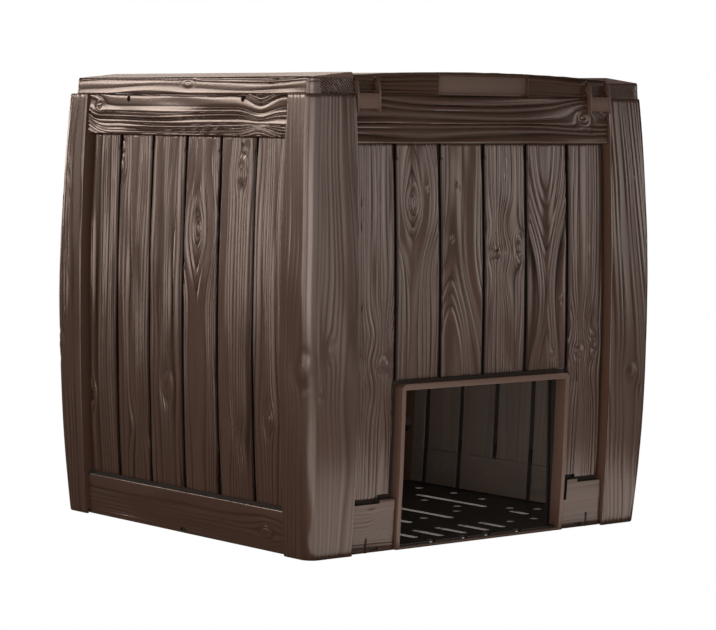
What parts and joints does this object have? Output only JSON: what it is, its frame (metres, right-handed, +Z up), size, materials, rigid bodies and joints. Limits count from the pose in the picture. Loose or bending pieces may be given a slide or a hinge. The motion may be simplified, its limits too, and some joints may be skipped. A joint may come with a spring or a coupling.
{
  "type": "compost bin",
  "caption": "Cube-shaped wood-look plastic garden compost bin: bulged plank walls between corner posts, hinged lid with front clips, low front hatch, perforated floor.",
  "frame": {"origin": "centre of the footprint, on the ground", "axes": "+Z up, -Y towards the front with the hatch and lid clips, +X to the right seen from the front"},
  "size_m": [0.742, 0.706, 0.7574],
  "materials": {
    "brown_plastic": "satin wood-grain moulding",
    "trim_plastic": "satin",
    "black_plastic": "satin",
    "steel": "zinc plated"
  },
  "bodies": {
    "bin": {"base_tray": "black_plastic", "corner_post_front_left": "brown_plastic", "corner_post_front_right": "brown_plastic", "corner_post_rear_left": "brown_plastic", "corner_post_rear_right": "brown_plastic", "wall_panel_front": "brown_plastic", "wall_panel_rear": "brown_plastic", "wall_panel_left": "brown_plastic", "wall_panel_right": "brown_plastic", "hatch_frame": "trim_plastic", "hatch_guide_left": "black_plastic", "hatch_guide_right": "black_plastic", "hatch_guide_screws": "steel", "hinge_bracket_left": "black_plastic", "hinge_bracket_right": "black_plastic", "hinge_bracket_screws": "steel", "hinge_pin_left": "steel", "hinge_pin_right": "steel"},
    "lid": {"lid_panel": "brown_plastic", "lid_board_left": "brown_plastic", "lid_board_right": "brown_plastic", "lid_board_screws": "steel", "lid_grip_plate": "trim_plastic", "hinge_arm_left": "black_plastic", "hinge_arm_right": "black_plastic", "hinge_arm_screws": "steel", "lid_clip_pin_left": "steel", "lid_clip_pin_right": "steel"},
    "hatch_door": {"hatch_door": "brown_plastic"},
    "clip_left": {"lid_clip_left": "trim_plastic"},
    "clip_right": {"lid_clip_right": "trim_plastic"}
  },
  "joints": [
    {"name": "lid_hinge", "type": "hinge", "parent": "bin", "child": "lid", "pos_m": [0, 0.334, 0.733], "axis": [-1, 0, 0], "range_deg": [0, 105]},
    {"name": "hatch_slide", "type": "slide", "parent": "bin", "child": "hatch_door", "axis": [0, 0, -1], "range_m": [0, 0.258]},
    {"name": "clip_left_hinge", "type": "hinge", "parent": "lid", "child": "clip_left", "pos_m": [-0.25, -0.326, 0.736], "axis": [-1, 0, 0], "range_deg": [0, 30]},
    {"name": "clip_right_hinge", "type": "hinge", "parent": "lid", "child": "clip_right", "pos_m": [0.25, -0.326, 0.736], "axis": [-1, 0, 0], "range_deg": [0, 30]}
  ]
}
